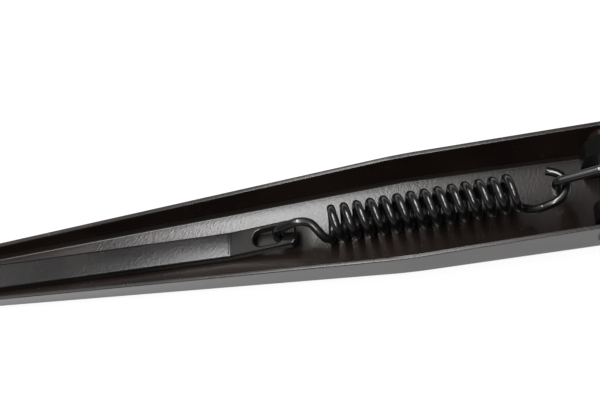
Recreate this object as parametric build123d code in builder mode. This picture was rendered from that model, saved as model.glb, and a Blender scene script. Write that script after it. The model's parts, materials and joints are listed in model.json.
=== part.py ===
"""Wiper arm lying on its back, open side up: folded channel, hook bar, spring, link and cast head.

Millimetres. The origin is on the spindle axis where the stud hole meets the taper, +X runs to the
hook and +Z points out of the open side. Heights named "up" are counted from the channel's web.
"""
import os
from math import cos, radians, sin, tan

from build123d import *

os.makedirs("parts", exist_ok=True)

# Where the main features stand
WEB_Z = -10.0
HINGE_X = 46.0
HINGE_UP = 7.3
HINGE_Z = WEB_Z + HINGE_UP
HINGE_TO_KINK = 66.0
KINK_TO_NOSE = 185.0
KINK_X = HINGE_X + HINGE_TO_KINK
NOSE_X = KINK_X + KINK_TO_NOSE
THROUGH = 60.0

# Folded channel: web width and wall height run straight between these places
SHEET = 1.5
SPLAY = 8.2
BEND_INNER = 0.6
BEND_OUTER = 2.2
HALF_EAR = 14.9
HALF_KINK = 15.7
HALF_NOSE = 5.15
HALF_SLEEVE = 4.65
UP_KINK = 12.3
UP_SLOPE = 0.0455
KINK_SOFT = 5.0
EAR_R = 9.1
EAR_X = HINGE_X - EAR_R - 0.4
WEB_END_X = HINGE_X + 3.2
WEB_CUT_HALF = 14.1
SEAT_R = 6.4
SEAT_IN = 15.0
SEAT_OUT = 17.0
SKIN = SHEET / cos(radians(SPLAY))

# Hook bar, its raised eye and the crimped nose round it
BAR_W = 9.0
BAR_T = 3.0
BAR_GAP = 0.12
EYE_BEND_X = KINK_X + 57.3
EYE_END_X = KINK_X + 35.0
EYE_RISE = 8.3
EYE_SLOT_L = 10.2
EYE_SLOT_W = 5.8
EYE_SLOT_X = KINK_X + 44.2
NOSE_L = 30.0
LIP_GAP = 2.6
HOOK_X = 500.0
HOOK_INNER_R = 3.6
HOOK_LEG = 22.0
RIVET_R = 2.0
RIVET_HEAD_R = 3.4
RIVET_HEAD_T = 1.1
RIVET_XS = (NOSE_X - 42.0, NOSE_X - 16.0)

# Hinge pin and its two bushes
PIN_R = 2.5
PIN_HEAD_R = 4.6
PIN_HEAD_T = 1.8
PIN_PLAY = 0.06
BUSH_R = 3.4
BUSH_FLANGE_R = 5.2
BUSH_FLANGE_T = 1.0

# Head
LUG_IN = 7.5
LUG_OUT = 13.7
LUG_UP = 16.0
KNUCKLE_R = 6.8
TOE_GAP = HINGE_UP - KNUCKLE_R
TOE_UP = 7.2
TOE_SIDES = ((1, 5.7, 10.6), (-1, 9.7, 12.6))
HEAD_R = 16.0
HEAD_HALF = 17.0
HEAD_FRONT_X = HINGE_X - EAR_R - 1.0
LUG_STEM = HEAD_FRONT_X - HINGE_X + 0.7
LUG_ROOT = LUG_STEM - 4.7
LUG_SHOULDER = 4.0
HEAD_UP = 12.0
HEAD_EDGE = 1.6
HEAD_NECK_L = 10.0
BOSS_R = 12.6
SPIGOT_R = 9.2
SPIGOT_UP = 18.0
STUD_R = 4.2
STUD_FLOOR_UP = 5.5
TAPER_R_IN = 4.7
TAPER_R_OUT = 5.9
POCKET_FLOOR_UP = 3.4
POCKET_HALF = 13.4
POCKET_START_X = 6.0
POCKET_X = 32.0
RIB_T = 2.6
NUT_R = 9.4
COVER_R = 12.0
COVER_T = 1.6
COVER_GAP = 0.15
COVER_SKIRT_L = 3.0

# Link, its pin and the spring
LINK_PIN_R = 1.7
LINK_PIN_X = HINGE_X - 1.0
LINK_PIN_UP = 13.0
LINK_R = 1.45
HANG_GAP = 0.25
HOLD_X = HINGE_X + 17.1
HOLD_UP = 13.9
LINK_TOP_X = HINGE_X + 3.0
LINK_TOP_UP = 17.8
SPRING_WIRE_R = 1.4
SPRING_R = 4.9
SPRING_TURNS = 14
SPRING_X_HEAD = KINK_X - 36.8
SPRING_X_EYE = KINK_X + 24.3
SPRING_UP_HEAD = 10.6
SPRING_UP_EYE = 6.75
SPRING_START = -31.0


def u_section(half, up):
    """Corner points of the folded section: half web width and wall height, from the web."""
    reach = up * tan(radians(SPLAY))
    foot = half + SKIN - SHEET * tan(radians(SPLAY))
    return [
        (-foot, -SHEET),
        (foot, -SHEET),
        (half + reach + SKIN, up),
        (half + reach, up),
        (half, 0),
        (-half, 0),
        (-half - reach, up),
        (-half - reach - SKIN, up),
    ]


def wall_up(x):
    return UP_KINK - UP_SLOPE * (x - KINK_X)


EAR_SLOPE = (HALF_EAR - HALF_KINK) / (EAR_X - KINK_X)
NOSE_SLOPE = (HALF_NOSE - HALF_KINK) / (NOSE_X - KINK_X)
STATIONS = [(EAR_X, HALF_EAR)]
for step in (-1.0, -0.4, 0.4, 1.0):
    before = min(step, 0.0) * EAR_SLOPE + max(step, 0.0) * NOSE_SLOPE
    soft = 0.25 * (1.0 - abs(step)) * (NOSE_SLOPE - EAR_SLOPE)
    STATIONS.append((KINK_X + step * KINK_SOFT, HALF_KINK + KINK_SOFT * (before + soft)))
STATIONS.append((NOSE_X, HALF_NOSE))

# Channel of folded sheet with its two hinge ears and the nose closed over the bar
with BuildPart() as channel:
    for x, half in STATIONS:
        with BuildSketch(Plane((x, 0, WEB_Z), (0, 1, 0), (1, 0, 0))) as section:
            with BuildLine():
                Polyline(*u_section(half, wall_up(x)), close=True)
            make_face()
            fillet([v for v in section.vertices() if abs(v.Y) < 1e-6], BEND_INNER)
            fillet([v for v in section.vertices() if abs(v.Y + SHEET) < 1e-6], BEND_OUTER)
    loft(ruled=True)
    with BuildSketch(Plane((NOSE_X, 0, WEB_Z), (0, 1, 0), (1, 0, 0))) as nose_face:
        with Locations((0, (BAR_T + BAR_GAP) / 2)):
            Rectangle(2 * (HALF_SLEEVE + SHEET), BAR_T + BAR_GAP + 2 * SHEET)
        fillet(nose_face.vertices(), 1.0)
        with Locations((0, (BAR_T + BAR_GAP) / 2)):
            Rectangle(2 * HALF_SLEEVE, BAR_T + BAR_GAP, mode=Mode.SUBTRACT)
        with Locations((0, BAR_T + BAR_GAP + SHEET)):
            Rectangle(LIP_GAP, 2 * SHEET + 1.0, mode=Mode.SUBTRACT)
    extrude(amount=NOSE_L)
    with Locations((WEB_END_X - 15, 0, WEB_Z)):
        Box(30, 2 * WEB_CUT_HALF, 4, mode=Mode.SUBTRACT)
    with BuildSketch(Plane.XZ):
        with Locations((HINGE_X - 10, HINGE_Z)):
            Rectangle(20, 50)
        with Locations((HINGE_X, HINGE_Z)):
            Circle(EAR_R, mode=Mode.SUBTRACT)
    extrude(amount=30, both=True, mode=Mode.SUBTRACT)
    for side in (-1, 1):
        with Locations((HINGE_X, side * (SEAT_IN + SEAT_OUT) / 2, HINGE_Z)):
            Cylinder(SEAT_R, SEAT_OUT - SEAT_IN, rotation=(90, 0, 0))
        with Locations((HINGE_X, side * (SEAT_OUT + 2), HINGE_Z)):
            Cylinder(SEAT_R, 4, rotation=(90, 0, 0), mode=Mode.SUBTRACT)
    with Locations((HINGE_X, 0, HINGE_Z)):
        Cylinder(PIN_R + PIN_PLAY, THROUGH, rotation=(90, 0, 0), mode=Mode.SUBTRACT)
    with Locations(*[(x, 0, WEB_Z) for x in RIVET_XS]):
        Cylinder(RIVET_R, 4 * SHEET, mode=Mode.SUBTRACT)
channel.part.label = "channel"
export_step(channel.part, "parts/channel.step")

# Flat bar: raised eye at one end, straight run on the web, hook for the blade at the other
EYE_TAN = tan(radians(EYE_RISE))
EYE_LIFT = (EYE_BEND_X - EYE_END_X) * EYE_TAN
HOOK_R = HOOK_INNER_R + BAR_T
HOOK_CX = HOOK_X - HOOK_R
with BuildPart() as blade_bar:
    with BuildSketch(Plane.XZ.shift_origin((0, 0, WEB_Z))) as bar_side:
        with BuildLine():
            Polyline(
                (HOOK_CX, 0),
                (EYE_BEND_X, 0),
                (EYE_END_X, EYE_LIFT),
                (EYE_END_X, EYE_LIFT + BAR_T),
                (EYE_BEND_X, BAR_T),
                (HOOK_CX, BAR_T),
            )
            CenterArc((HOOK_CX, HOOK_R), HOOK_INNER_R, -90, 180)
            Polyline(
                (HOOK_CX, BAR_T + 2 * HOOK_INNER_R),
                (HOOK_CX - HOOK_LEG, BAR_T + 2 * HOOK_INNER_R),
                (HOOK_CX - HOOK_LEG, 2 * HOOK_R),
                (HOOK_CX, 2 * HOOK_R),
            )
            CenterArc((HOOK_CX, HOOK_R), HOOK_R, -90, 180)
        make_face()
    extrude(amount=BAR_W / 2, both=True)
    with BuildSketch(Plane.XY.offset(WEB_Z - 1)):
        with Locations((EYE_SLOT_X, 0)):
            SlotOverall(EYE_SLOT_L, EYE_SLOT_W)
    extrude(amount=12, mode=Mode.SUBTRACT)
    ends = blade_bar.edges().filter_by(Axis.Z, tolerance=1)
    fillet([e for e in ends if abs(e.center().X - EYE_END_X) < 0.1 and abs(e.center().Y) > 4], 1.6)
    legs = blade_bar.edges().filter_by(Axis.Z, tolerance=1)
    tips = [e for e in legs if abs(e.center().X - HOOK_CX + HOOK_LEG) < 0.1]
    fillet([e for e in tips if abs(e.center().Y) > 4], 2.0)
    with Locations(*[(x, 0, WEB_Z) for x in RIVET_XS]):
        Cylinder(RIVET_R, 4 * BAR_T, mode=Mode.SUBTRACT)
blade_bar.part.label = "blade_bar"
export_step(blade_bar.part, "parts/blade_bar.step")

# Two rivets through bar and web, flush at the back
for name, x in zip(("bar_rivet_inner", "bar_rivet_outer"), RIVET_XS):
    with BuildPart() as rivet:
        with BuildSketch(Plane.XY.offset(WEB_Z - SHEET)):
            with Locations((x, 0)):
                Circle(RIVET_R)
        extrude(amount=SHEET + BAR_T)
        with BuildSketch(Plane.XY.offset(WEB_Z + BAR_T)):
            with Locations((x, 0)):
                Circle(RIVET_HEAD_R)
        extrude(amount=RIVET_HEAD_T)
        fillet(rivet.edges().group_by(Axis.Z)[-1], 0.7)
    rivet.part.label = name
    export_step(rivet.part, "parts/" + name + ".step")

# Hinge pin riveted over outside both ears
with BuildPart() as hinge_pin:
    with Locations((HINGE_X, 0, HINGE_Z)):
        Cylinder(PIN_R, 2 * SEAT_OUT, rotation=(90, 0, 0))
    for side in (-1, 1):
        with Locations((HINGE_X, side * (SEAT_OUT + PIN_HEAD_T / 2), HINGE_Z)):
            Cylinder(PIN_HEAD_R, PIN_HEAD_T, rotation=(90, 0, 0))
    fillet(hinge_pin.edges().group_by(Axis.Y)[-1] + hinge_pin.edges().group_by(Axis.Y)[0], 1.2)
hinge_pin.part.label = "hinge_pin"
export_step(hinge_pin.part, "parts/hinge_pin.step")

# Flanged bushes pressed into the lugs, turning on the pin
for name, side in (("hinge_bush_near", 1), ("hinge_bush_far", -1)):
    with BuildPart() as bush:
        with Locations((HINGE_X, side * (LUG_IN + LUG_OUT) / 2, HINGE_Z)):
            Cylinder(BUSH_R, LUG_OUT - LUG_IN, rotation=(90, 0, 0))
        with Locations((HINGE_X, side * (LUG_OUT + BUSH_FLANGE_T / 2), HINGE_Z)):
            Cylinder(BUSH_FLANGE_R, BUSH_FLANGE_T, rotation=(90, 0, 0))
        with Locations((HINGE_X, 0, HINGE_Z)):
            Cylinder(PIN_R + PIN_PLAY, THROUGH, rotation=(90, 0, 0), mode=Mode.SUBTRACT)
    bush.part.label = name
    export_step(bush.part, "parts/" + name + ".step")

# Cast head: body and boss over the spindle, two lugs between the ears
BACK_Z = WEB_Z - SHEET
with BuildPart() as arm_head:
    with BuildSketch(Plane.XY.offset(BACK_Z)):
        Circle(HEAD_R)
        with Locations((HEAD_FRONT_X - HEAD_NECK_L / 2, 0)):
            Rectangle(HEAD_NECK_L, 2 * HEAD_HALF)
        make_hull()
    extrude(amount=HEAD_UP + SHEET)
    rims = arm_head.edges().group_by(Axis.Z)
    fillet(rims[0] + rims[-1], HEAD_EDGE)
    with BuildSketch(Plane.XY.offset(WEB_Z + POCKET_FLOOR_UP)):
        with Locations(((POCKET_X + POCKET_START_X) / 2, 0)):
            Rectangle(POCKET_X - POCKET_START_X, 2 * POCKET_HALF)
        Circle(BOSS_R, mode=Mode.SUBTRACT)
        with Locations((POCKET_X / 2, 0)):
            Rectangle(POCKET_X, RIB_T, mode=Mode.SUBTRACT)
    extrude(amount=20, mode=Mode.SUBTRACT)
    with BuildSketch(Plane.XY.offset(WEB_Z + STUD_FLOOR_UP)):
        Circle(SPIGOT_R)
    extrude(amount=SPIGOT_UP - STUD_FLOOR_UP)
    fillet(arm_head.edges().group_by(Axis.Z)[-1], 1.0)
    for side, toe, toe_top in TOE_SIDES:
        lug_plane = Plane.XZ.shift_origin((HINGE_X, 0, WEB_Z)).offset(-side * (LUG_IN + LUG_OUT) / 2)
        with BuildSketch(lug_plane) as lug:
            with BuildLine():
                Polyline(
                    (LUG_ROOT, -SHEET),
                    (LUG_STEM, -SHEET),
                    (LUG_STEM, HINGE_UP / 2),
                    (0, TOE_GAP),
                    (toe, TOE_GAP),
                    (toe - 0.4, TOE_UP),
                    (toe - 2.6, toe_top),
                    (1.5, LUG_UP),
                    (LUG_ROOT + LUG_SHOULDER, LUG_UP),
                    (LUG_ROOT, LUG_UP - LUG_SHOULDER),
                    close=True,
                )
            make_face()
            fillet([v for v in lug.vertices() if v.X > 1 and v.Y > TOE_UP + 1], 2.6)
            fillet([v for v in lug.vertices() if v.X > 1 and v.Y < 1], 1.5)
            with Locations((LUG_STEM / 2, HINGE_UP / 4)):
                Rectangle(-LUG_STEM, HINGE_UP / 2, mode=Mode.SUBTRACT)
            with Locations((0, HINGE_UP)):
                Circle(KNUCKLE_R)
        extrude(amount=(LUG_OUT - LUG_IN) / 2, both=True)
    with Locations((HINGE_X, 0, HINGE_Z)):
        Cylinder(BUSH_R, 2 * LUG_OUT + 2, rotation=(90, 0, 0), mode=Mode.SUBTRACT)
    with Locations((LINK_PIN_X, 0, WEB_Z + LINK_PIN_UP)):
        Cylinder(LINK_PIN_R, 2 * LUG_OUT + 2, rotation=(90, 0, 0), mode=Mode.SUBTRACT)
    with Locations((0, 0, WEB_Z + STUD_FLOOR_UP)):
        Cylinder(STUD_R, 40, mode=Mode.SUBTRACT)
    with Locations((0, 0, SPIGOT_UP / 2 + WEB_Z / 2)):
        Cone(TAPER_R_IN, TAPER_R_OUT, SPIGOT_UP + WEB_Z, mode=Mode.SUBTRACT)
    with BuildSketch(Plane.XY.offset(BACK_Z)):
        Circle(NUT_R)
    extrude(amount=STUD_FLOOR_UP + SHEET, mode=Mode.SUBTRACT)
    with BuildSketch(Plane.XY.offset(BACK_Z)):
        Circle(COVER_R + COVER_GAP)
    extrude(amount=COVER_T, mode=Mode.SUBTRACT)
arm_head.part.label = "arm_head"
export_step(arm_head.part, "parts/arm_head.step")

# Plastic cover pushed into the nut pocket, flush with the back
with BuildPart() as nut_cover:
    with BuildSketch(Plane.XY.offset(BACK_Z)):
        Circle(COVER_R)
    extrude(amount=COVER_T - COVER_GAP)
    with BuildSketch(Plane.XY.offset(BACK_Z + COVER_T - COVER_GAP)):
        Circle(NUT_R - COVER_GAP)
        Circle(NUT_R - COVER_GAP - 1.4, mode=Mode.SUBTRACT)
    extrude(amount=COVER_SKIRT_L)
    fillet(nut_cover.edges().group_by(Axis.Z)[0], 0.8)
nut_cover.part.label = "nut_cover"
export_step(nut_cover.part, "parts/nut_cover.step")

# Pin across the lugs that the link pulls on
with BuildPart() as link_pin:
    with Locations((LINK_PIN_X, 0, WEB_Z + LINK_PIN_UP)):
        Cylinder(LINK_PIN_R, 2 * LUG_OUT - 0.4, rotation=(90, 0, 0))
    chamfer(link_pin.edges().group_by(Axis.Y)[-1] + link_pin.edges().group_by(Axis.Y)[0], 0.4)
link_pin.part.label = "link_pin"
export_step(link_pin.part, "parts/link_pin.step")

# Round wire link: a stub for the spring, an arch over the hinge pin, a leg behind the link pin
LEG_X = LINK_PIN_X - LINK_PIN_R - LINK_R - HANG_GAP
with BuildPart() as spring_link:
    with BuildLine(Plane.XZ.shift_origin((0, 0, WEB_Z))) as link_path:
        FilletPolyline(
            (HOLD_X, HOLD_UP - 6.4),
            (HOLD_X, HOLD_UP),
            (LINK_TOP_X, LINK_TOP_UP),
            (LEG_X, LINK_PIN_UP + 5.2),
            (LEG_X, LINK_PIN_UP - 3.0),
            radius=2.7,
        )
    with BuildSketch(Plane(link_path.line @ 0, z_dir=link_path.line % 0)):
        Circle(LINK_R)
    sweep()
spring_link.part.label = "spring_link"
export_step(spring_link.part, "parts/spring_link.step")

# Tension spring: the coil, the leg into the eye and the flat hook round the link's stub
AXIS_X = SPRING_X_EYE - SPRING_X_HEAD
AXIS_UP = SPRING_UP_EYE - SPRING_UP_HEAD
COIL_L = (AXIS_X**2 + AXIS_UP**2) ** 0.5
AXIS = Vector(AXIS_X / COIL_L, 0, AXIS_UP / COIL_L)
COIL_LEVEL = Plane((SPRING_X_HEAD, 0, WEB_Z + SPRING_UP_HEAD), (0, 1, 0), AXIS)
COIL_SIDE = COIL_LEVEL.x_dir * cos(radians(SPRING_START)) + COIL_LEVEL.y_dir * sin(radians(SPRING_START))
COIL_PLANE = Plane(COIL_LEVEL.origin, COIL_SIDE, AXIS)
HOOK_PEAK_X = HOLD_X - LINK_R - SPRING_WIRE_R - HANG_GAP
HOOK_UP = HOLD_UP - LINK_R - SPRING_WIRE_R - HANG_GAP
with BuildLine() as upright:
    Helix(COIL_L / SPRING_TURNS, COIL_L, SPRING_R)
COIL = upright.line.moved(COIL_PLANE.location)
with BuildLine() as eye_leg:
    Spline(
        COIL @ 1,
        (KINK_X + 26.4, 3.6, WEB_Z + 7.6),
        (KINK_X + 29.3, 0.4, WEB_Z + 10.0),
        (KINK_X + 33.2, -0.2, WEB_Z + 10.9),
        (KINK_X + 37.4, 0.0, WEB_Z + 9.4),
        (KINK_X + 41.2, 0.0, WEB_Z + 5.9),
        (KINK_X + 41.25, 0.0, WEB_Z + 3.4),
        (KINK_X + 40.95, 0.0, WEB_Z + 1.3),
        tangents=(COIL % 1, (-0.35, 0, -1)),
    )
with BuildLine() as link_hook:
    Spline(
        (HOOK_PEAK_X + 5.8, -6.0, WEB_Z + HOOK_UP),
        (HOOK_PEAK_X + 1.6, -3.9, WEB_Z + HOOK_UP),
        (HOOK_PEAK_X, 0, WEB_Z + HOOK_UP),
        (HOOK_PEAK_X + 1.5, 3.6, WEB_Z + HOOK_UP - 0.1),
        (HOOK_PEAK_X + 3.6, 4.9, WEB_Z + HOOK_UP - 0.4),
        (HOOK_PEAK_X + 7.5, 5.5, WEB_Z + HOOK_UP - 1.6),
        (SPRING_X_HEAD - 2.6, 4.3, WEB_Z + 6.9),
        COIL @ 0,
        tangents=((-1, 0.35, 0), COIL % 0),
    )
SPRING_PATH = Wire(link_hook.edges() + COIL.edges() + eye_leg.edges())
with BuildPart() as tension_spring:
    with BuildSketch(Plane(SPRING_PATH @ 0, z_dir=SPRING_PATH % 0)):
        Circle(SPRING_WIRE_R)
    sweep(path=SPRING_PATH)
tension_spring.part.label = "tension_spring"
export_step(tension_spring.part, "parts/tension_spring.step")
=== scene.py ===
# %% [markdown]
# # A wiper arm, photographed from its open side
# The arm lies on its back. Its folded channel is open towards us, and inside it a flat bar,
# a tension spring and a wire link can be seen. The solids come from CAD and already stand in
# the right place. This lesson gives them softer edges, two press lines on the bar, a slight
# lean of the spring's turns, finishes, light and a camera.

# %% Load the solids
import json
from math import radians

import bmesh
import bpy
from mathutils import Matrix, Vector
from mathutils.bvhtree import BVHTree


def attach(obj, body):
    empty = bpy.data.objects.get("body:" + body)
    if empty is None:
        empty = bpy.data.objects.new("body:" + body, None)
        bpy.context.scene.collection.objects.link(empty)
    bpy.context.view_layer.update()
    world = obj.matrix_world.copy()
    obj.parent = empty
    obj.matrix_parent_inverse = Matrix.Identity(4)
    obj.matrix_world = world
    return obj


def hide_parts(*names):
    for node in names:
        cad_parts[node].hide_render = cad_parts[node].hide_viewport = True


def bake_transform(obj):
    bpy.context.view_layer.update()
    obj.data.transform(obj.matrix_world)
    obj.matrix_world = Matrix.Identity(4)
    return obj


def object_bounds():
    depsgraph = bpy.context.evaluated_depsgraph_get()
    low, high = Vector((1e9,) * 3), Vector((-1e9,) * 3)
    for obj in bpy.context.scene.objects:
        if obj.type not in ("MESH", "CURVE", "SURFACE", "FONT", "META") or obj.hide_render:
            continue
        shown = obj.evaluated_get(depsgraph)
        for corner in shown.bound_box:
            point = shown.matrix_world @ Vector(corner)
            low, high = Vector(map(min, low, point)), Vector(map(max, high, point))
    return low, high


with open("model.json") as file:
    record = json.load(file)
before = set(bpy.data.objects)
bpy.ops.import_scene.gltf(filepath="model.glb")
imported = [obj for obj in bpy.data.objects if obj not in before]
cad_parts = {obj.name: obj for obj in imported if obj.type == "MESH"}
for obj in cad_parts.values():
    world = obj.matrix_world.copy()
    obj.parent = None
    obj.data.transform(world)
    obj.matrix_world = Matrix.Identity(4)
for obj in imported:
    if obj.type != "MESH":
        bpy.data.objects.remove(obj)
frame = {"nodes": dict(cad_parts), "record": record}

MM = 0.001
cad_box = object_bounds()
print("solids:", ", ".join(sorted(frame["nodes"])))

# %% [markdown]
# ## The camera
# The photograph was taken with a long lens from the near side, looking down into the channel,
# with the camera rolled so that the arm rises to the right. The place of the lens was worked
# out from the straight edges of the channel. A camera looks along its own -Z, so its axes are
# the picture's right, the picture's up and the way back to the photographer.

# %% Camera
LENS_AT = Vector((20.5, 338.2, 593.9)) * MM
PICTURE_RIGHT = Vector((-0.9747, 0.0314, -0.2215)).normalized()
PICTURE_DOWN = Vector((0.1366, 0.8676, -0.4781)).normalized()
FOCAL_PIXELS = 2200
PICTURE_WIDTH = 600
SENSOR_WIDTH = 36

lens = bpy.data.cameras.new("long_lens")
lens.sensor_width = SENSOR_WIDTH
lens.lens = SENSOR_WIDTH * FOCAL_PIXELS / PICTURE_WIDTH
lens.clip_start = 0.01
lens.clip_end = 50
camera = bpy.data.objects.new("camera", lens)
bpy.context.scene.collection.objects.link(camera)
look_back = PICTURE_RIGHT.cross(-PICTURE_DOWN).normalized()
picture_up = look_back.cross(PICTURE_RIGHT)
turn = Matrix((PICTURE_RIGHT, picture_up, look_back)).transposed()
camera.matrix_world = Matrix.Translation(LENS_AT) @ turn.to_4x4()
bpy.context.scene.camera = camera
print("lens of", round(lens.lens), "mm,", round(LENS_AT.length, 2), "m from the spindle")

# %% [markdown]
# ## Shader sums as plain Python
# A shader is a graph, and sums in a graph are hard to read. This small class wraps one socket,
# so that `1 - mask * 0.5` adds the Math nodes by itself. Every other node comes from
# `Finish.add`, which sets a node's own settings first and then its sockets.

# %% Sockets that can be summed
class Strand:
    """One shader socket that takes part in Python sums."""

    def __init__(self, finish, socket):
        self.finish = finish
        self.socket = socket

    def sum(self, operation, first, second):
        return self.finish.add("ShaderNodeMath", {"operation": operation}, {0: first, 1: second})

    def __add__(self, other):
        return self.sum("ADD", self, other)

    def __sub__(self, other):
        return self.sum("SUBTRACT", self, other)

    def __rsub__(self, other):
        return self.sum("SUBTRACT", other, self)

    def __mul__(self, other):
        return self.sum("MULTIPLY", self, other)

    def __lt__(self, other):
        return self.sum("LESS_THAN", self, other)

    def most(self, other):
        """The larger of two values."""
        return self.sum("MAXIMUM", self, other)

    def least(self, other):
        """The smaller of two values."""
        return self.sum("MINIMUM", self, other)

    def rise(self, low, high):
        """A soft step from 0 at low to 1 at high."""
        settings = {"interpolation_type": "SMOOTHSTEP"}
        return self.finish.add("ShaderNodeMapRange", settings, {"Value": self, 1: low, 2: high})


class Finish:
    """A material or world under construction."""

    def __init__(self, tree):
        self.tree = tree
        self.tree.nodes.clear()

    def add(self, kind, settings=None, sockets=None, out=0):
        node = self.tree.nodes.new(kind)
        for name, value in (settings or {}).items():
            setattr(node, name, value)
        for name, value in (sockets or {}).items():
            if isinstance(value, Strand):
                self.tree.links.new(value.socket, node.inputs[name])
            else:
                node.inputs[name].default_value = value
        return Strand(self, node.outputs[out]) if len(node.outputs) else None

    def place(self):
        return self.add("ShaderNodeTexCoord", out="Object")

    def axis(self, place, number):
        """One of a place's X, Y and Z, numbered 0, 1 and 2."""
        return self.add("ShaderNodeSeparateXYZ", {}, {0: place}, out=number)

    def noise(self, place, scale, detail=2.0, rough=0.5, warp=0.0):
        return self.add("ShaderNodeTexNoise", {}, {
            "Vector": place, "Scale": scale, "Detail": detail, "Roughness": rough,
            "Distortion": warp})

    def blend(self, mask, under, over):
        """A colour that goes from under to over as the mask goes from 0 to 1."""
        return self.add("ShaderNodeMix", {"data_type": "RGBA"}, {0: mask, 6: under, 7: over}, out=2)

    def bump(self, height, distance=1.0):
        return self.add("ShaderNodeBump", {}, {
            "Strength": 1.0, "Distance": distance, "Height": height})


def new_material(name):
    material = bpy.data.materials.new(name)
    material.use_nodes = True
    return material, Finish(material.node_tree)


def close_material(finish, sockets):
    surface = finish.add("ShaderNodeBsdfPrincipled", {}, sockets)
    finish.add("ShaderNodeOutputMaterial", {}, {"Surface": surface})


print("shader helpers are ready")

# %% [markdown]
# ## Stove paint
# The channel, the bar and the casting carry black stove paint. Real paint of this kind is
# never flat: it dries with a fine wrinkle that runs one way, it is a little browner where it
# lies thick, its gloss drifts from place to place, and dust settles on it. So the bump has a
# stretched noise with a finer, even one over it, the roughness follows a slow noise, and a
# Voronoi pattern gives a few pale specks. Heights are in metres, so the Bump node's distance
# stays at 1. The bar's face is also very slightly crowned.

# %% Wrinkled paint
WRINKLE_TURN = radians(60)
WRINKLE_STRETCH = (2.4, 1, 1)
GRIT_FINER_BY = 3.1
DUST = (0.17, 0.16, 0.15, 1)
PAINT_GLOSS = 0.37


def wrinkled(f, place, wide, deep):
    """Height of the wrinkle in metres, and the noise it comes from."""
    laid = f.add("ShaderNodeMapping", {"vector_type": "TEXTURE"}, {
        "Vector": place, "Rotation": (0, 0, WRINKLE_TURN), "Scale": WRINKLE_STRETCH})
    fold = f.noise(laid, 1 / (wide * MM), 1, 0.5, 0.25)
    grit = f.noise(place, GRIT_FINER_BY / (wide * MM), 1, 0.5)
    return (fold * 0.8 + grit * 0.2) * (deep * MM), fold


def dusted(f, place, shade, amount):
    """Pale specks, in patches, over a colour."""
    cells = f.add("ShaderNodeTexVoronoi", {}, {"Vector": place, "Scale": 420.0})
    patch = f.noise(place, 70, 1).rise(0.55, 0.68)
    return f.blend((cells < 0.10) * patch * amount, shade, DUST)


def stove_paint(name, black, brown, dull, wide, deep, specks, crown, gloss):
    material, f = new_material(name)
    place = f.place()
    slow = f.noise(place, 45, 3)
    height, fold = wrinkled(f, place, wide, deep)
    y = f.axis(place, 1)
    close_material(f, {
        "Base Color": dusted(f, place, f.blend(slow.rise(0.35, 0.7), black, brown), specks),
        "Roughness": slow * 0.10 + fold * 0.06 + (dull - 0.08),
        "Specular IOR Level": gloss,
        "Normal": f.bump(height - y * y * crown),
    })
    return material


bar_paint = stove_paint(
    "bar_paint", (0.0085, 0.0078, 0.0076, 1), (0.0130, 0.0112, 0.0104, 1),
    dull=0.17, wide=0.58, deep=0.032, specks=0.2, crown=1.5, gloss=PAINT_GLOSS)
head_paint = stove_paint(
    "head_paint", (0.0048, 0.0045, 0.0044, 1), (0.0085, 0.0078, 0.0074, 1),
    dull=0.28, wide=1.10, deep=0.022, specks=0.4, crown=0.0, gloss=0.20)
print("painted:", bar_paint.name, head_paint.name)

# %% [markdown]
# ## Places on the channel
# The channel is one piece of sheet, but its paint is not the same all over. Each place is found
# from the arm's own measures: the half width of the web and the height of the walls at a given
# X. The outer faces got a thicker, glossier coat, the sheared rims are rubbed, the web under
# the bar's eye and the inner corners are dull, and the web is pressed with a slight crown,
# hollow inside and round outside, which pulls its sheen over to the far side.

# %% Masks for the channel
KINK = 112 * MM
WEB = -10 * MM
CROWN = 5.5
HALF_AT_KINK = 15.7 * MM
TAPER_PAST_KINK = 0.0570
TAPER_BEFORE_KINK = 0.0106
WALL_LEAN = 0.144
WALL_AT_KINK = 12.3 * MM
WALL_DROP = 0.0455


def channel_places(f, place):
    x, y, z = (f.axis(place, number) for number in range(3))
    across = f.add("ShaderNodeMath", {"operation": "ABSOLUTE"}, {0: y})
    taper = (x - KINK).most(0.0) * TAPER_PAST_KINK + (KINK - x).most(0.0) * TAPER_BEFORE_KINK
    half = HALF_AT_KINK - taper
    up = z - WEB
    below = z < WEB - 0.7 * MM
    outside = (across - half - up * WALL_LEAN).rise(0.5 * MM, 1.1 * MM).most(below)
    wall_top = WALL_AT_KINK - (x - KINK) * WALL_DROP
    eye_length = x.rise(141 * MM, 146 * MM) * x.rise(178 * MM, 170 * MM)
    eye_width = y.rise(-6.5 * MM, -5.0 * MM) * y.rise(4.8 * MM, 3.6 * MM)
    wall_foot = (across - half).rise(-0.50 * MM, -0.10 * MM) * up.rise(2.2 * MM, 1.4 * MM)
    spread = across.least(half)
    return {
        "rim": (up - wall_top).rise(-0.9 * MM, -0.2 * MM),
        "sheltered": eye_length * eye_width * (up < 0.6 * MM) * (1 - below),
        "corner": wall_foot * (1 - outside),
        "glossier": outside * x.rise(100 * MM, 290 * MM) * up.rise(-6 * MM, 12 * MM),
        "hollow": spread * spread * CROWN * (1 - below * 2),
    }


print("places on the channel are ready")

# %% [markdown]
# ## Paint on the channel
# The wrinkle is rubbed flat on the rims, where pale grit shows, and the hollow of the web is
# added to the height of the wrinkle.

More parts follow.
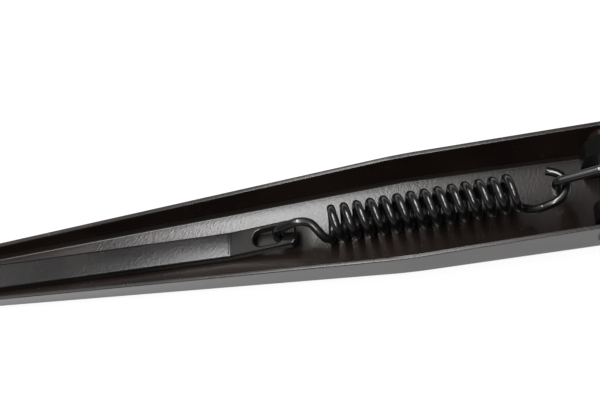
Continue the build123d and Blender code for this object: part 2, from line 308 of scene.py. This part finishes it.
# %% Channel paint
def channel_coat():
    material, f = new_material("channel_paint")
    place = f.place()
    at = channel_places(f, place)
    slow = f.noise(place, 45, 3)
    height, fold = wrinkled(f, place, wide=0.58, deep=0.038)
    grit = f.noise(place, 1500, 2).rise(0.60, 0.72) * f.noise(place, 60, 1).rise(0.45, 0.6)
    shade = f.blend(
        slow.rise(0.35, 0.7), (0.0118, 0.0078, 0.0067, 1), (0.0175, 0.0118, 0.0100, 1))
    shade = dusted(f, place, shade, 0.25)
    dull = at["rim"] * 0.05 + at["sheltered"] * 0.40 + at["corner"] * 0.80
    close_material(f, {
        "Base Color": f.blend(at["rim"] * grit * 0.35, shade, (0.20, 0.19, 0.18, 1)),
        "Roughness": slow * 0.10 + fold * 0.06 + dull + 0.09,
        "Specular IOR Level": PAINT_GLOSS,
        "Coat Weight": at["glossier"] * 0.80,
        "Coat Roughness": 0.25,
        "Normal": f.bump(height * (1 - at["rim"] * 0.85) + at["hollow"]),
    })
    return material


channel_paint = channel_coat()
print("painted:", channel_paint.name)

# %% [markdown]
# ## Spring lacquer
# The spring and the wire link are dipped in gloss black. The lacquer pulls thin in places, so
# its colour and gloss vary slowly along the wire, and it never dries quite smooth.

# %% Spring lacquer
def spring_lacquer():
    material, f = new_material("spring_black")
    place = f.place()
    slow = f.noise(place, 120, 2)
    fine = f.noise(place, 900, 2)
    close_material(f, {
        "Base Color": f.blend(
            slow.rise(0.4, 0.75), (0.0045, 0.0043, 0.0042, 1), (0.0085, 0.0080, 0.0076, 1)),
        "Roughness": slow * 0.10 + fine * 0.05 + 0.25,
        "Coat Weight": slow * 0.2 + 0.8,
        "Coat Roughness": 0.15,
        "Normal": f.bump(fine * 0.5 + slow * 0.5, 0.006 * MM),
    })
    return material


spring_black = spring_lacquer()
print("dipped:", spring_black.name)

# %% [markdown]
# ## Pins, bushes and cover
# The pins are dark steel with the last of the paint still on them. The bushes are a moulded
# plastic with a fine bloom, and the cover over the nut has the leather-like grain that mould
# makers etch into such parts.

# %% Small parts
def worn_steel():
    material, f = new_material("pin_steel")
    place = f.place()
    drawn = f.add("ShaderNodeMapping", {}, {"Vector": place, "Scale": (1, 12, 1)})
    turned = f.noise(drawn, 260, 3)
    paint = f.noise(place, 420, 4, 0.6).rise(0.46, 0.56)
    close_material(f, {
        "Base Color": f.blend(paint, (0.30, 0.29, 0.28, 1), (0.02, 0.02, 0.02, 1)),
        "Metallic": 1 - paint,
        "Roughness": turned * 0.25 + 0.25,
        "Normal": f.bump(turned * 0.6 + paint * 0.4, 0.01 * MM),
    })
    return material


def moulded(name, low, high, dull, grain, grain_size):
    material, f = new_material(name)
    place = f.place()
    slow = f.noise(place, 80, 3)
    cells = f.add("ShaderNodeTexVoronoi", {"feature": "SMOOTH_F1"}, {
        "Vector": place, "Scale": 1 / (grain_size * MM), "Smoothness": 0.6})
    fine = f.noise(place, 2200, 2)
    close_material(f, {
        "Base Color": f.blend(slow.rise(0.3, 0.7), low, high),
        "Roughness": slow * 0.12 + cells * 0.10 + dull,
        "Normal": f.bump(cells * 0.8 + fine * 0.2, grain * MM),
    })
    return material


pin_steel = worn_steel()
bush_plastic = moulded(
    "bush_plastic", (0.085, 0.085, 0.085, 1), (0.13, 0.13, 0.125, 1),
    dull=0.42, grain=0.010, grain_size=0.5)
cover_plastic = moulded(
    "cover_plastic", (0.016, 0.016, 0.017, 1), (0.024, 0.024, 0.024, 1),
    dull=0.45, grain=0.060, grain_size=0.9)
print("small parts:", pin_steel.name, bush_plastic.name, cover_plastic.name)

# %% [markdown]
# ## Copies that stand for the solids
# A piece that needs another shape is a merged copy of its solid. The solid itself stays as it
# is, and the copy replaces it to the eye.

# %% Copies
SLOTS = {row["node"]: row["material_slot"] for row in frame["record"]["subparts"]}
PAINTS = {
    "channel_paint": channel_paint, "bar_paint": bar_paint, "head_paint": head_paint,
    "spring_black": spring_black, "pin_steel": pin_steel, "bush_plastic": bush_plastic,
    "cover_plastic": cover_plastic}
BODY_OF = {
    node: body
    for body, nodes in frame["record"]["behaviour"]["bodies"].items() for node in nodes}


def merged_copy(node):
    bm = bmesh.new()
    bm.from_mesh(frame["nodes"][node].data)
    bmesh.ops.remove_doubles(bm, verts=bm.verts, dist=0.002 * MM)
    return bm


def settle(bm, node, title, smooth_below, crease_x=None):
    """Turn a finished copy into a piece, with a sharp line across it at crease_x."""
    mesh = bpy.data.meshes.new(title)
    bm.to_mesh(mesh)
    bm.free()
    mesh.shade_smooth()
    mesh.set_sharp_from_angle(angle=radians(smooth_below))
    if crease_x is not None:
        on_line = [abs(v.co.x - crease_x * MM) < 0.02 * MM for v in mesh.vertices]
        for edge in mesh.edges:
            if all(on_line[i] for i in edge.vertices):
                edge.use_edge_sharp = True
    piece = bpy.data.objects.new(title, mesh)
    bpy.context.scene.collection.objects.link(piece)
    mesh.materials.append(PAINTS[SLOTS[node]])
    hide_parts(node)
    print(title, "has", len(mesh.polygons), "faces")
    return piece


print("paints for", len(SLOTS), "solids")

# %% [markdown]
# ## Softer edges
# Sheared sheet and cast iron have no razor edges: the paint draws a round bead over them, and
# that bead catches the light as a thin line. The flat faces of each copy are joined up again
# and its sharp edges get a small round. At a few places the round would fold thin flaps out
# of the surface, some of them in the way of the swinging head. So the edges in a few small
# boxes stay sharp: at the ears, the kink and the mouth of the nose on the channel, and at the
# roots of the head's lugs.

# %% Rounded copies
FLAT_WITHIN = 0.4
SHARPER_THAN = 40
SMOOTH_BELOW = 50
ROUND_STEPS = 2
STRAY_SHARE = 0.6
BEND_X = 169.3
EAR_STRIPS = ((30, -20, -12), (49.0, 20, -9.15))
KINK_SEAM = ((72, -20, -12), (77, 20, -8))
NOSE_MOUTH = ((295, -20, -12), (299, 20, -9))
LUG_ROOTS = [((31, -20, -12), (36.5, -6.5, 7)), ((31, 6.5, -12), (36.5, 20, 7))]


def inside(point, boxes):
    """Whether a point, in metres, lies in one of the boxes, given in millimetres."""
    return any(all(low * MM < p < high * MM for low, p, high in zip(box[0], point, box[1]))
               for box in boxes)


def rounded_copy(node, title, round_by, crease_x=None, keep_sharp=()):
    bm = merged_copy(node)
    skin = BVHTree.FromBMesh(bm)
    bmesh.ops.dissolve_limit(
        bm, angle_limit=radians(FLAT_WITHIN), use_dissolve_boundaries=False,
        verts=bm.verts, edges=bm.edges)
    hard = [e for e in bm.edges if e.is_manifold and e.calc_face_angle() > radians(SHARPER_THAN)
            and not inside((e.verts[0].co + e.verts[1].co) / 2, keep_sharp)]
    bmesh.ops.bevel(
        bm, geom=hard, offset=round_by * MM, offset_type="OFFSET", segments=ROUND_STEPS,
        profile=0.5, affect="EDGES", material=-1, clamp_overlap=False)
    strays = 0
    for corner in bm.verts:
        near, _, _, off = skin.find_nearest(corner.co)
        if off > STRAY_SHARE * round_by * MM:
            corner.co = near
            strays += 1
    print(strays, "stray corners pulled back on", title)
    piece = settle(bm, node, title, SMOOTH_BELOW, crease_x)
    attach(piece, BODY_OF[node])
    crisp = piece.modifiers.new("even_shading", "WEIGHTED_NORMAL")
    crisp.keep_sharp = True


rounded_copy("channel", "folded_channel", 0.30, keep_sharp=[EAR_STRIPS, KINK_SEAM, NOSE_MOUTH])
rounded_copy("blade_bar", "flat_bar", 0.70, crease_x=BEND_X)
rounded_copy("arm_head", "cast_head", 0.30, keep_sharp=LUG_ROOTS)

# %% [markdown]
# ## The bend in the bar
# Where the bar was bent up, the press left two fine raised lines across it. Each is a sliver
# with rounded edges, sunk a little into the bar, so that only its back catches the light.

# %% Press lines
LINE_SHIFTS = (-0.55, 0.45)
LINE_SIZE = Vector((0.34, 7.6, 0.30)) * MM
LINE_SUNK = 0.05 * MM
LINE_ROUND = 0.14 * MM
BAR_THICK = 3.0 * MM
EYE_SLOPE = 0.146


def press_lines():
    bm = bmesh.new()
    for shift in LINE_SHIFTS:
        made = bmesh.ops.create_cube(bm, size=1)
        bmesh.ops.scale(bm, verts=made["verts"], vec=LINE_SIZE)
        top = WEB + BAR_THICK + max(-shift, 0) * EYE_SLOPE * MM
        bmesh.ops.translate(
            bm, verts=made["verts"], vec=((BEND_X + shift) * MM, 0, top - LINE_SUNK))
    bmesh.ops.bevel(
        bm, geom=list(bm.edges), offset=LINE_ROUND, offset_type="OFFSET", segments=2, profile=0.5,
        affect="EDGES", material=-1)
    mesh = bpy.data.meshes.new("press_lines")
    bm.to_mesh(mesh)
    bm.free()
    mesh.shade_smooth()
    mesh.materials.append(bar_paint)
    piece = bpy.data.objects.new("press_lines", mesh)
    bpy.context.scene.collection.objects.link(piece)
    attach(piece, "arm")
    print("press lines of", len(mesh.polygons), "faces")


press_lines()

# %% [markdown]
# ## The spring
# The spring is one wire: a hook, fourteen turns and a leg into the bar's eye. Its turns stand
# upright in the solid, and in the photograph they lean, so the copy is sheared a little
# between its two ends. When the head is lifted the hook end is pulled along while the other
# stays in the bar. The copy is left where it stands and is not attached to either body.

# %% Spring wire
EYE_END = Vector((153.1, 0, -2)) * MM
HOOK_END = Vector((63.1, 0, 4)) * MM
LEAN_NEAR = 0.16
LEAN_UP = 0.165
LEAN_FROM, LEAN_GROWS = 0.08, 12
LEAN_TO, LEAN_FADES = 0.88, 5
FACES_KEPT = 0.3


def leaning_turns(bm):
    """Lean the turns towards the hook, near side first, and leave both ends where they are."""
    for point in bm.verts:
        here = (point.co.x - HOOK_END.x) / (EYE_END.x - HOOK_END.x)
        held = min(1, max(0, here - LEAN_FROM) * LEAN_GROWS, max(0, LEAN_TO - here) * LEAN_FADES)
        axis_z = HOOK_END.z + (EYE_END.z - HOOK_END.z) * here
        point.co.x -= held * (LEAN_NEAR * point.co.y + LEAN_UP * (point.co.z - axis_z))


wire = merged_copy("tension_spring")
leaning_turns(wire)
coil = settle(wire, "tension_spring", "coil_spring", 60)
lighter = coil.modifiers.new("fewer_faces", "DECIMATE")
lighter.ratio = FACES_KEPT
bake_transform(coil)
wire_link = settle(merged_copy("spring_link"), "spring_link", "wire_link", 40)
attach(wire_link, "link")

# %% [markdown]
# ## The pieces that keep their solid
# Pins, rivets, bushes and the cover are right as they are, so they only get their finish.

# %% Finishes on the solids
KEPT_SOLIDS = (
    "bar_rivet_inner", "bar_rivet_outer", "hinge_pin", "hinge_bush_near", "hinge_bush_far",
    "nut_cover", "link_pin")
for node in KEPT_SOLIDS:
    slots = frame["nodes"][node].data.materials
    if len(slots):
        slots[0] = PAINTS[SLOTS[node]]
    else:
        slots.append(PAINTS[SLOTS[node]])
print("finished on the solids:", len(KEPT_SOLIDS), "small parts")

# %% [markdown]
# ## Floor
# The photograph has a plain white ground. The floor is white to the camera and in reflections,
# and keeps a share of real shadow. Its edge is turned up far away, so that a low view sees
# white behind the arm too.

# %% White floor
FLOOR_Z = cad_box[0][2] - 0.0004
FLOOR_REACH = 6
EDGE_UP = 0.8
FLOOR_GLOW = 0.90


def floor_mesh():
    bm = bmesh.new()
    bmesh.ops.create_grid(bm, x_segments=1, y_segments=1, size=FLOOR_REACH)
    bmesh.ops.translate(bm, verts=bm.verts, vec=(0, 0, FLOOR_Z))
    edge = bmesh.ops.extrude_edge_only(bm, edges=bm.edges[:])
    raised = [v for v in edge["geom"] if isinstance(v, bmesh.types.BMVert)]
    bmesh.ops.translate(bm, verts=raised, vec=(0, 0, EDGE_UP))
    mesh = bpy.data.meshes.new("floor")
    bm.to_mesh(mesh)
    bm.free()
    return mesh


def floor_white():
    material, f = new_material("floor_white")
    to_camera, glossy, clear = (
        f.add("ShaderNodeLightPath", out=ray)
        for ray in ("Is Camera Ray", "Is Glossy Ray", "Is Transmission Ray"))
    seen = f.add("ShaderNodeMath", {"operation": "ADD", "use_clamp": True}, {
        0: to_camera + glossy, 1: clear})
    matt = f.add("ShaderNodeBsdfDiffuse", {}, {"Color": (0.8, 0.8, 0.8, 1)})
    glow = f.add("ShaderNodeEmission", {}, {"Color": (1, 1, 1, 1), "Strength": FLOOR_GLOW})
    dim = f.add("ShaderNodeBsdfDiffuse", {}, {"Color": (0.16, 0.16, 0.16, 1)})
    shown = f.add("ShaderNodeAddShader", {}, {0: glow, 1: dim})
    both = f.add("ShaderNodeMixShader", {}, {0: seen, 1: matt, 2: shown})
    f.add("ShaderNodeOutputMaterial", {}, {"Surface": both})
    return material


floor = bpy.data.objects.new("floor", floor_mesh())
bpy.context.scene.collection.objects.link(floor)
floor.data.materials.append(floor_white())
print("floor at", round(FLOOR_Z * 1000, 2), "mm")

# %% [markdown]
# ## Light
# A strip lamp above the far side lays the long sheen on the web of the channel. Three weaker
# panels and a second lamp, above the near side, add to it. All of them face straight down,
# which is how an area lamp hangs unless it is turned. The room is dark at the horizon and pale
# overhead.

# %% Lamps
LAMPS = {  # place in metres, length along the arm, length across it, watts
    "strip_lamp": ((0.296, -0.13, 0.69), 0.13, 0.48, 3.8),
    "wide_panel": ((0.175, -0.19, 0.70), 0.12, 0.32, 0.20),
    "far_panel": ((0.235, -0.40, 0.70), 0.05, 0.07, 0.05),
    "tip_panel": ((0.56, -0.30, 0.70), 0.08, 0.50, 0.28),
    "near_lamp": ((0.26, 0.40, 0.72), 0.16, 0.36, 3.0),
}
for name, (at, along, across, watts) in LAMPS.items():
    lamp = bpy.data.lights.new(name, "AREA")
    lamp.shape = "RECTANGLE"
    lamp.size = along
    lamp.size_y = across
    lamp.energy = watts
    hung = bpy.data.objects.new(name, lamp)
    hung.location = at
    bpy.context.scene.collection.objects.link(hung)
print("lamps:", ", ".join(LAMPS))

# %% Room
HORIZON = (0.04, 0.04, 0.04, 1)
OVERHEAD = (0.55, 0.55, 0.55, 1)

world = bpy.data.worlds.new("grey_room")
bpy.context.scene.world = world
world.use_nodes = True
room = Finish(world.node_tree)
way_up = room.axis(room.add("ShaderNodeTexCoord", out="Generated"), 2)
tone = room.blend(way_up.rise(0.62, 0.97), HORIZON, OVERHEAD)
room.add("ShaderNodeOutputWorld", {}, {
    "Surface": room.add("ShaderNodeBackground", {}, {"Color": tone, "Strength": 1.0})})
bpy.context.scene.view_settings.view_transform = "Standard"
print("room:", world.name)
